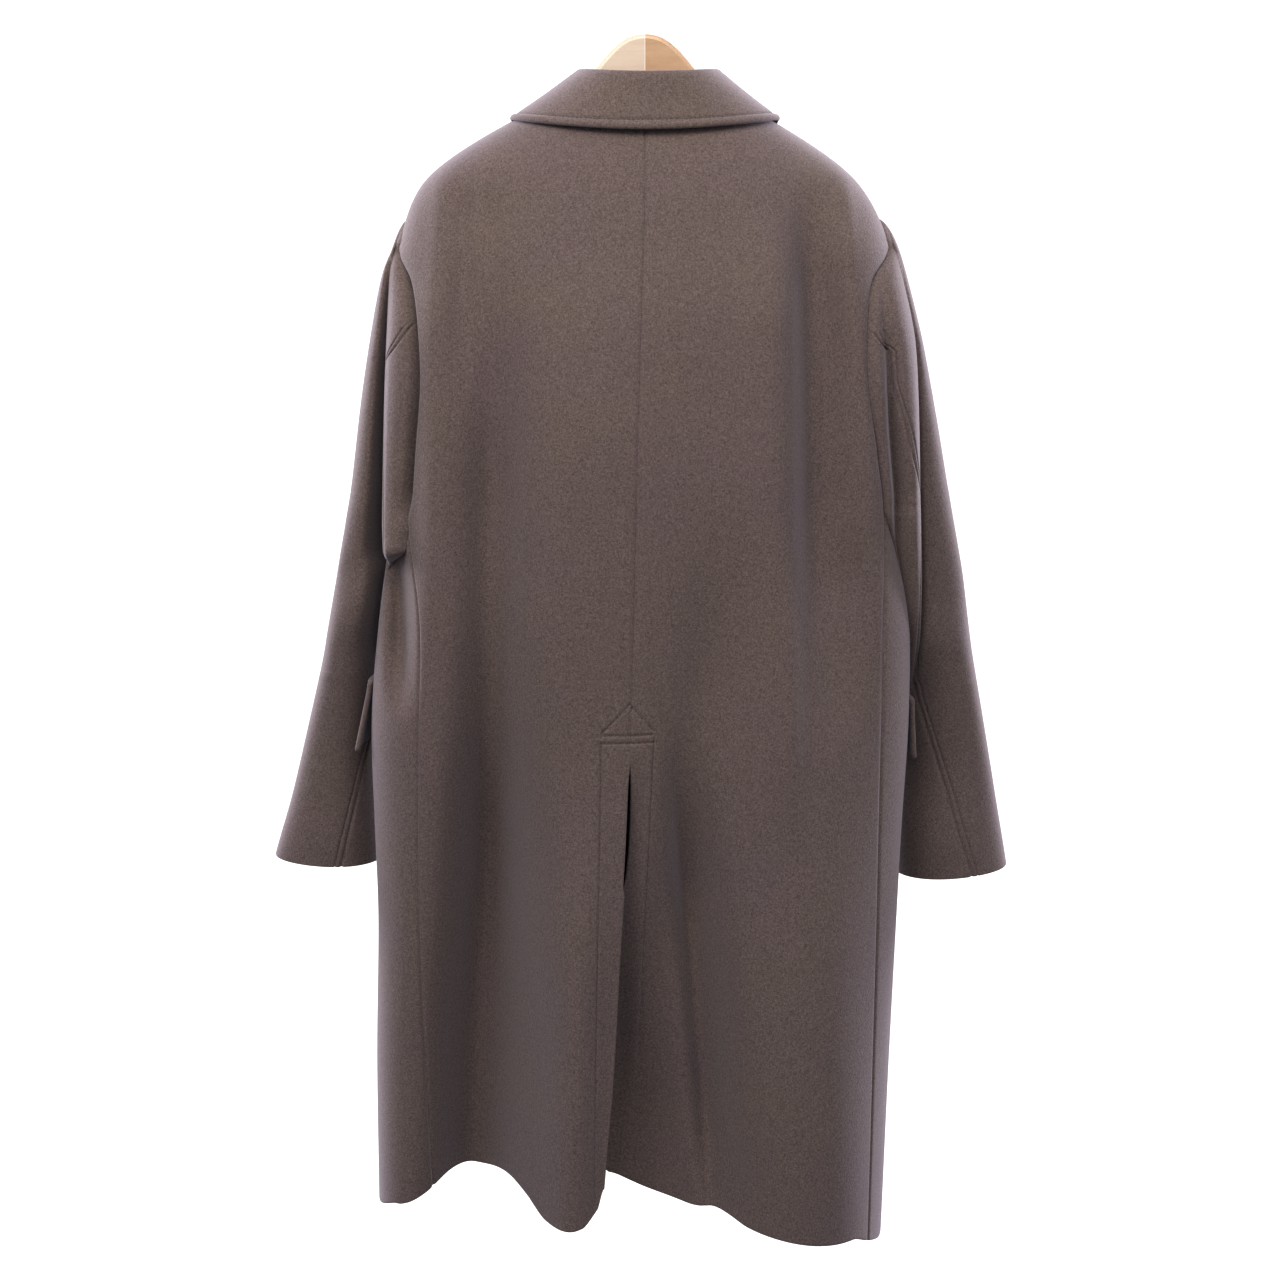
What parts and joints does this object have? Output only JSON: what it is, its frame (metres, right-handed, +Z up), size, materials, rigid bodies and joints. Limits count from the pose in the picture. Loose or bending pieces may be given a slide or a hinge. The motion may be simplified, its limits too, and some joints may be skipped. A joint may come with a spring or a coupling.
{
  "type": "chesterfield coat on a clothes hanger",
  "caption": "Hollow long wool overcoat with folded collar, lapels, side flaps and a centre back vent, hanging open at neck, cuffs and hem on a wooden hanger.",
  "frame": {"origin": "top of the hanger's crown, at the joint of its two halves, where a hook screws in", "axes": "+Z up, the coat's back faces -Y, +X is the wearer's right"},
  "size_m": [0.7609, 0.2517, 1.1939],
  "materials": {
    "cloth": "soft brushed wool in brown grey",
    "wood_pale": "satin varnish, pale",
    "wood_tan": "satin varnish, tan",
    "button": "dark satin"
  },
  "bodies": {
    "root": {"back_left": "cloth", "back_right": "cloth", "front_left": "cloth", "front_right": "cloth", "sleeve_left_top": "cloth", "sleeve_left_under": "cloth", "sleeve_right_top": "cloth", "sleeve_right_under": "cloth", "collar": "cloth", "lapel_left": "cloth", "lapel_right": "cloth", "pocket_flap_left": "cloth", "pocket_flap_right": "cloth", "button_top": "button", "button_middle": "button", "button_bottom": "button", "hanger_left": "wood_pale", "hanger_right": "wood_tan"}
  },
  "joints": []
}
